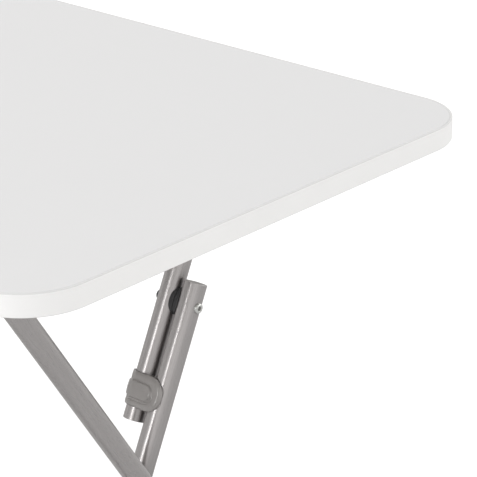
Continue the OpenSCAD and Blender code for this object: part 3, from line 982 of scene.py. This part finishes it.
# %% Plugs
def make_plugs():
    r, depth = tube_r - tube_wall - 0.06 * mm, 10 * mm
    profile = [(-depth, r * 0.90), (-0.5 * mm, r), (-0.12 * mm, r - 0.08 * mm), (0, r - 0.5 * mm),
               (0, r - 1.3 * mm), (-0.35 * mm, r - 1.9 * mm), (-0.5 * mm, r * 0.5), (-0.55 * mm, 1.3 * mm),
               (-0.85 * mm, 1.0 * mm), (-0.9 * mm, 0.4 * mm)]
    leg = set_out("leg_plugs", turned("plug", profile), both_ends(
        inner_place, (inner_x, 0, leg_over - knee_s), (0, 0, 1)), PLUG)
    finish_piece(leg, "inner_legs", stands_for=sided("leg_plug"))
    low = set_out("link_plugs", turned("plug", profile), both_ends(
        inner_place, (link_x, 0, -knee_s - link_over), (0, 0, -1)), PLUG)
    finish_piece(low, "links", stands_for=sided("link_plug"))


make_plugs()

# %% [markdown]
# ## Rubber feet
#
# A cup closes each end of the foot bar, and a pad snaps round the inner frame's bar from
# below. Both are a round rubber with a flat sole. The cup is skinned from sections set out
# along the bar: it starts inside, turns over a lip, dips at each of four grip grooves and
# closes in a soft dome. The pad's section is open above, so it is drawn as a flat curve, and
# the curve's own extrude and bevel settings give it its length and rounded edges.

# %% Foot cups
def cup_ring(x, radius, sole, drop, sides=80):
    """A circle about the bar's axis that reaches down to a flat sole."""
    points = []
    for i in range(sides):
        a = math.tau * i / sides
        c, s = math.cos(a), math.sin(a)
        reach = radius
        if s < 0 and drop > radius:
            reach = max(reach, min(sole / max(abs(c), 1e-6), drop / -s))
        points.append(Vector((x, foot_y + reach * c, foot_z + reach * s)))
    return points


def make_cups():
    low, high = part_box("foot_cap_right")
    r, bore, sole, drop = (high.y - low.y) / 2, tube_r + 0.05 * mm, 7 * mm, foot_z - low.z
    start, end = low.x, high.x
    rings = [cup_ring(end - 2 * mm, bore, 0, 0), cup_ring(start + 0.3 * mm, bore, 0, 0)]
    outline = [(start, 0.75), (start + 0.1 * mm, 0.35), (start + 0.5 * mm, 0.0)]
    for groove in range(4):
        middle = start + (4.5 + 3.6 * groove) * mm
        outline += [(middle - 0.9 * mm, 0), (middle - 0.6 * mm, 0.12), (middle - 0.35 * mm, 0.5),
                    (middle + 0.35 * mm, 0.5), (middle + 0.6 * mm, 0.12), (middle + 0.9 * mm, 0)]
    for step in range(9):
        a = math.radians(90 * step / 8)
        outline.append((end - 3 * mm * (1 - math.sin(a)), 3.0 * (1 - math.cos(a))))
    outline += [(end, 5.5)]
    rings += [cup_ring(x, r - pull * mm, sole - pull * mm * 0.6, drop - pull * mm * 0.25)
              for x, pull in outline]
    cup = outward(as_mesh("foot_cups", *skin(rings)))
    mirrored(cup)
    shade(cup, 42)
    finish_piece(new_object("foot_cups", cup), "outer_legs", RUBBER, sided("foot_cap"))


# %% Foot pads
def flat_solid(name, outlines, length, round_mm, smooth=35):
    """A solid of that length along X from closed (y, z) outlines. Inner ones are holes."""
    data = bpy.data.curves.new(name, "CURVE")
    data.dimensions, data.fill_mode = "2D", "BOTH"
    for outline in outlines:
        line = data.splines.new("POLY")
        line.points.add(len(outline) - 1)
        for point, (y, z) in zip(line.points, outline):
            point.co = (y, z, 0, 1)
        line.use_cyclic_u = True
    data.bevel_depth, data.bevel_resolution, data.offset = round_mm * mm, 3, -round_mm * mm
    data.extrude = length / 2 - data.bevel_depth
    piece = new_object(name, data)
    graph = bpy.context.evaluated_depsgraph_get()
    mesh = bpy.data.meshes.new_from_object(piece.evaluated_get(graph))
    bpy.data.objects.remove(piece)
    mesh.transform(Matrix(((0, 0, 1, 0), (1, 0, 0, 0), (0, 1, 0, 0), (0, 0, 0, 1))))
    outward(mesh)
    shade(mesh, smooth)
    return mesh


def arc(radius, first, last, steps, centre=(0, 0)):
    """(y, z) points on an arc, angles in degrees from +Y towards +Z."""
    turns = [math.radians(first + (last - first) * i / steps) for i in range(steps + 1)]
    return [(centre[0] + radius * math.cos(a), centre[1] + radius * math.sin(a)) for a in turns]


def make_pads():
    low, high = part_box("foot_pad_right")
    middle_y = (low.y + high.y) / 2
    r, bore, sole, drop = (high.y - low.y) / 2, tube_r + 0.05 * mm, 5 * mm, inner_foot_z - low.z
    mouth = math.degrees(math.asin(0.6 * tube_r / bore))
    down = math.degrees(math.asin(sole / r))
    outer = (arc(r, 90 - mouth, -90 + down, 40) + [(sole, -drop + 0.5 * mm), (sole - 0.5 * mm, -drop)]
             + [(-sole + 0.5 * mm, -drop), (-sole, -drop + 0.5 * mm)] + arc(r, 270 - down, 90 + mouth, 40))
    section = outer + arc(bore, 90 + mouth, 450 - mouth, 72)
    pad = flat_solid("foot_pads", [section], high.x - low.x, 0.5)
    pad.transform(Matrix.Translation(((low.x + high.x) / 2, middle_y, inner_foot_z)))
    mirrored(pad)
    finish_piece(new_object("foot_pads", pad), "inner_legs", RUBBER, sided("foot_pad"))


make_cups()
make_pads()

# %% [markdown]
# ## Hinge blocks and screws
#
# Four moulded blocks carry the frames' bars under the board. A block is one section, drawn
# across the bar, with a hole for the tube and a wing for each screw. Two thin ribs at each
# side brace the wings, as a moulder would add them to keep the plate from flexing.

# %% Blocks
def make_block_meshes(low, high, axis):
    r = axis.z - low.z
    wing, top, plate = (high.y - low.y) / 2, high.z - axis.z, 4 * mm
    fillet = 2.5 * mm
    under = top - plate
    side = ([(wing, top), (wing, under + 0.4 * mm), (wing - 0.4 * mm, under)]
            + arc(fillet, 90, 180, 8, (r + fillet, under - fillet)) + [(r, 0)])
    outline = side + arc(r, 0, -180, 48)[1:-1] + [(-y, z) for y, z in reversed(side)]
    hole = arc(tube_r + 0.06 * mm, 0, 355, 71)
    body = flat_solid("block", [outline, hole], high.x - low.x, 0.6)
    meshes = [(body, 0.0)]
    reach = wing - 1.2 * mm
    for flip in (1, -1):
        gusset = [(flip * y, z) for y, z in (
            (r - 1.5 * mm, under + 1 * mm), (r - 1.5 * mm, 1.0 * mm), (r - 0.2 * mm, 1.0 * mm),
            (r + 3.5 * mm, 5.5 * mm), (reach, under - 1.2 * mm), (reach, under + 1 * mm))]
        for shift in (-0.42, 0.42):
            rib = flat_solid("rib", [gusset[::flip]], 2.4 * mm, 0.3)
            meshes.append((rib, shift * (high.x - low.x)))
    return meshes


def make_blocks():
    for kind, axis in (("fold", fold), ("link", link)):
        parts = []
        low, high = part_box(f"{kind}_hinge_block_right")
        for mesh, shift in make_block_meshes(low, high, axis):
            mesh.transform(Matrix.Translation(((low.x + high.x) / 2 + shift, axis.y, axis.z)))
            parts.append(new_object("part", mirrored(mesh)))
        blocks = join(f"{kind}_hinge_blocks", parts)
        finish_piece(blocks, "top", BLOCK, sided(f"{kind}_hinge_block"))


make_blocks()

# %% [markdown]
# The screws are pan heads with a cross recess. The recess is cut once with a Boolean modifier
# on the part that gets copied, so eight screws cost one cut.

# %% Screws
def make_screws():
    low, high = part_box("block_screws")
    head_r, head_h, bite = 4 * mm, 2.4 * mm, high.z - low.z
    profile = [(head_h - bite, 0.4 * mm), (head_h - bite + 2 * mm, 1.9 * mm), (0, 1.95 * mm),
               (0, head_r - 0.15 * mm), (0.15 * mm, head_r), (0.55 * mm, head_r),
               (1.2 * mm, head_r * 0.93), (1.8 * mm, head_r * 0.78), (2.2 * mm, head_r * 0.55),
               (head_h, head_r * 0.2)]
    screw = turned("screw", profile, smooth=40)
    work = bmesh.new()
    middle_x, taper = 2.2 * mm, 0.55
    arm_size = Matrix.Diagonal((2.6 * mm, 4.2 * mm, 0.85 * mm, 1))
    for turn in (0, 90):
        place = Matrix.Rotation(math.radians(turn), 4, "X") @ Matrix.Translation((middle_x, 0, 0))
        arm = bmesh.ops.create_cube(work, size=1, matrix=place @ arm_size)
        for vert in arm["verts"]:
            if vert.co.x < middle_x:
                vert.co.y, vert.co.z = vert.co.y * taper, vert.co.z * taper
    mesh = bpy.data.meshes.new("recess")
    work.to_mesh(mesh)
    work.free()
    recess = new_object("recess", mesh)
    cut = screw.modifiers.new("recess", "BOOLEAN")
    cut.operation, cut.object, cut.solver, cut.use_self = "DIFFERENCE", recess, "EXACT", True
    baked(screw)
    shade(screw.data, 40)
    bpy.data.objects.remove(recess)
    off_y, seat_z = fold.y - low.y - head_r, low.z + head_h
    spots = [(Vector((x, pivot.y + side, seat_z)), Vector((0, 0, -1)))
             for x in (low.x + head_r, high.x - head_r)
             for pivot in (fold, link) for side in (-off_y, off_y)]
    screws = set_out("block_screw_set", screw, spots, ZINC, random_turn=math.tau)
    finish_piece(screws, "top", stands_for=["block_screws"])


make_screws()

# %% [markdown]
# ## The latch clips
#
# A clip is one soft-edged moulding: a sleeve round the link, a jaw over the front of the leg,
# and a thumb rib across both. It starts as the CAD solid, so it sits where that does. A voxel
# remesh gives it small even faces, smoothing melts its edges, and then each point on its outside
# moves a little. `sink` says how far, from the distance to the rib and to the outline. Points
# that the smoothing has pulled into either tube's room are pushed out again.

# %% Latch clips
def dip(distance, depth, off, width):
    """A round-bottomed groove, deepest where the distance is `off`."""
    return depth * math.exp(-((distance - off) / width) ** 2)


def sink(x, z, half_len, right):
    """How far a point on the outside goes in, in millimetres, seen from the front."""
    rib_end, rib_r, crown_h = 13.4, 6.8, 0.3
    roll_depth, roll_width = 1.6, 4.0
    smooth_x, fade_width = -11, 5  # the side of the sleeve stays smooth
    to_rib = math.hypot(max(0, x - rib_end), z) - rib_r
    groove = dip(to_rib, 0.75, 0.7, 0.6)
    if z < 0:
        groove += dip(to_rib, 0.8, 2.5, 0.55)
    crown = crown_h * max(0, -to_rib / rib_r)
    to_rim = half_len - math.hypot(max(0, x - right + half_len), z)
    roll = roll_depth * max(0, 1 - to_rim / roll_width) ** 2
    fade = min(1, max(0, (x - smooth_x) / fade_width))
    return fade * (groove + roll) - crown


def make_clips():
    node = frame["nodes"]["latch_clip_right"]
    start = inner_place @ Matrix.Translation((link_x, 0, 0))
    mesh = node.data.copy()
    mesh.transform(start.inverted() @ node.matrix_world)
    levels = [v.co.z for v in mesh.vertices]
    middle, half_len = (max(levels) + min(levels)) / 2, (max(levels) - min(levels)) / 2 / mm
    mesh.transform(Matrix.Translation((0, 0, -middle)))
    clip = new_object("latch_clips", outward(mesh))
    clip.modifiers.new("even faces", "REMESH").voxel_size = 0.5 * mm
    soften = clip.modifiers.new("melted edges", "SMOOTH")
    soften.factor, soften.iterations = 0.5, 5
    baked(clip)
    pitch, bore, link_fit, leg_fit = (inner_x - link_x) / mm, tube_r / mm, 0.03, 0.25
    front_y, front_fade, least_wall = -2, 4, 1.2
    right = max(v.co.x for v in clip.data.vertices) / mm
    for vert in clip.data.vertices:
        x, y, z = vert.co / mm
        aside = x if x < 0 else max(0, x - pitch)
        reach = math.hypot(aside, y)
        if y < front_y and reach > bore + least_wall:
            go = sink(x, z, half_len, right) * min(1, (front_y - y) / front_fade)
            x, y = x - aside * go / reach, y - y * go / reach
        for axis_x, keep in ((0, bore + link_fit), (pitch, bore + leg_fit)):
            near = math.hypot(x - axis_x, y)
            if near < keep:
                x, y = axis_x + (x - axis_x) * keep / near, y * keep / near
        vert.co = Vector((x, y, z)) * mm
    mesh = clip.data
    mesh.transform(start @ Matrix.Translation((0, 0, middle)))
    mirrored(mesh)
    mesh.shade_smooth()
    finish_piece(clip, "links", CLIP, sided("latch_clip"))


make_clips()
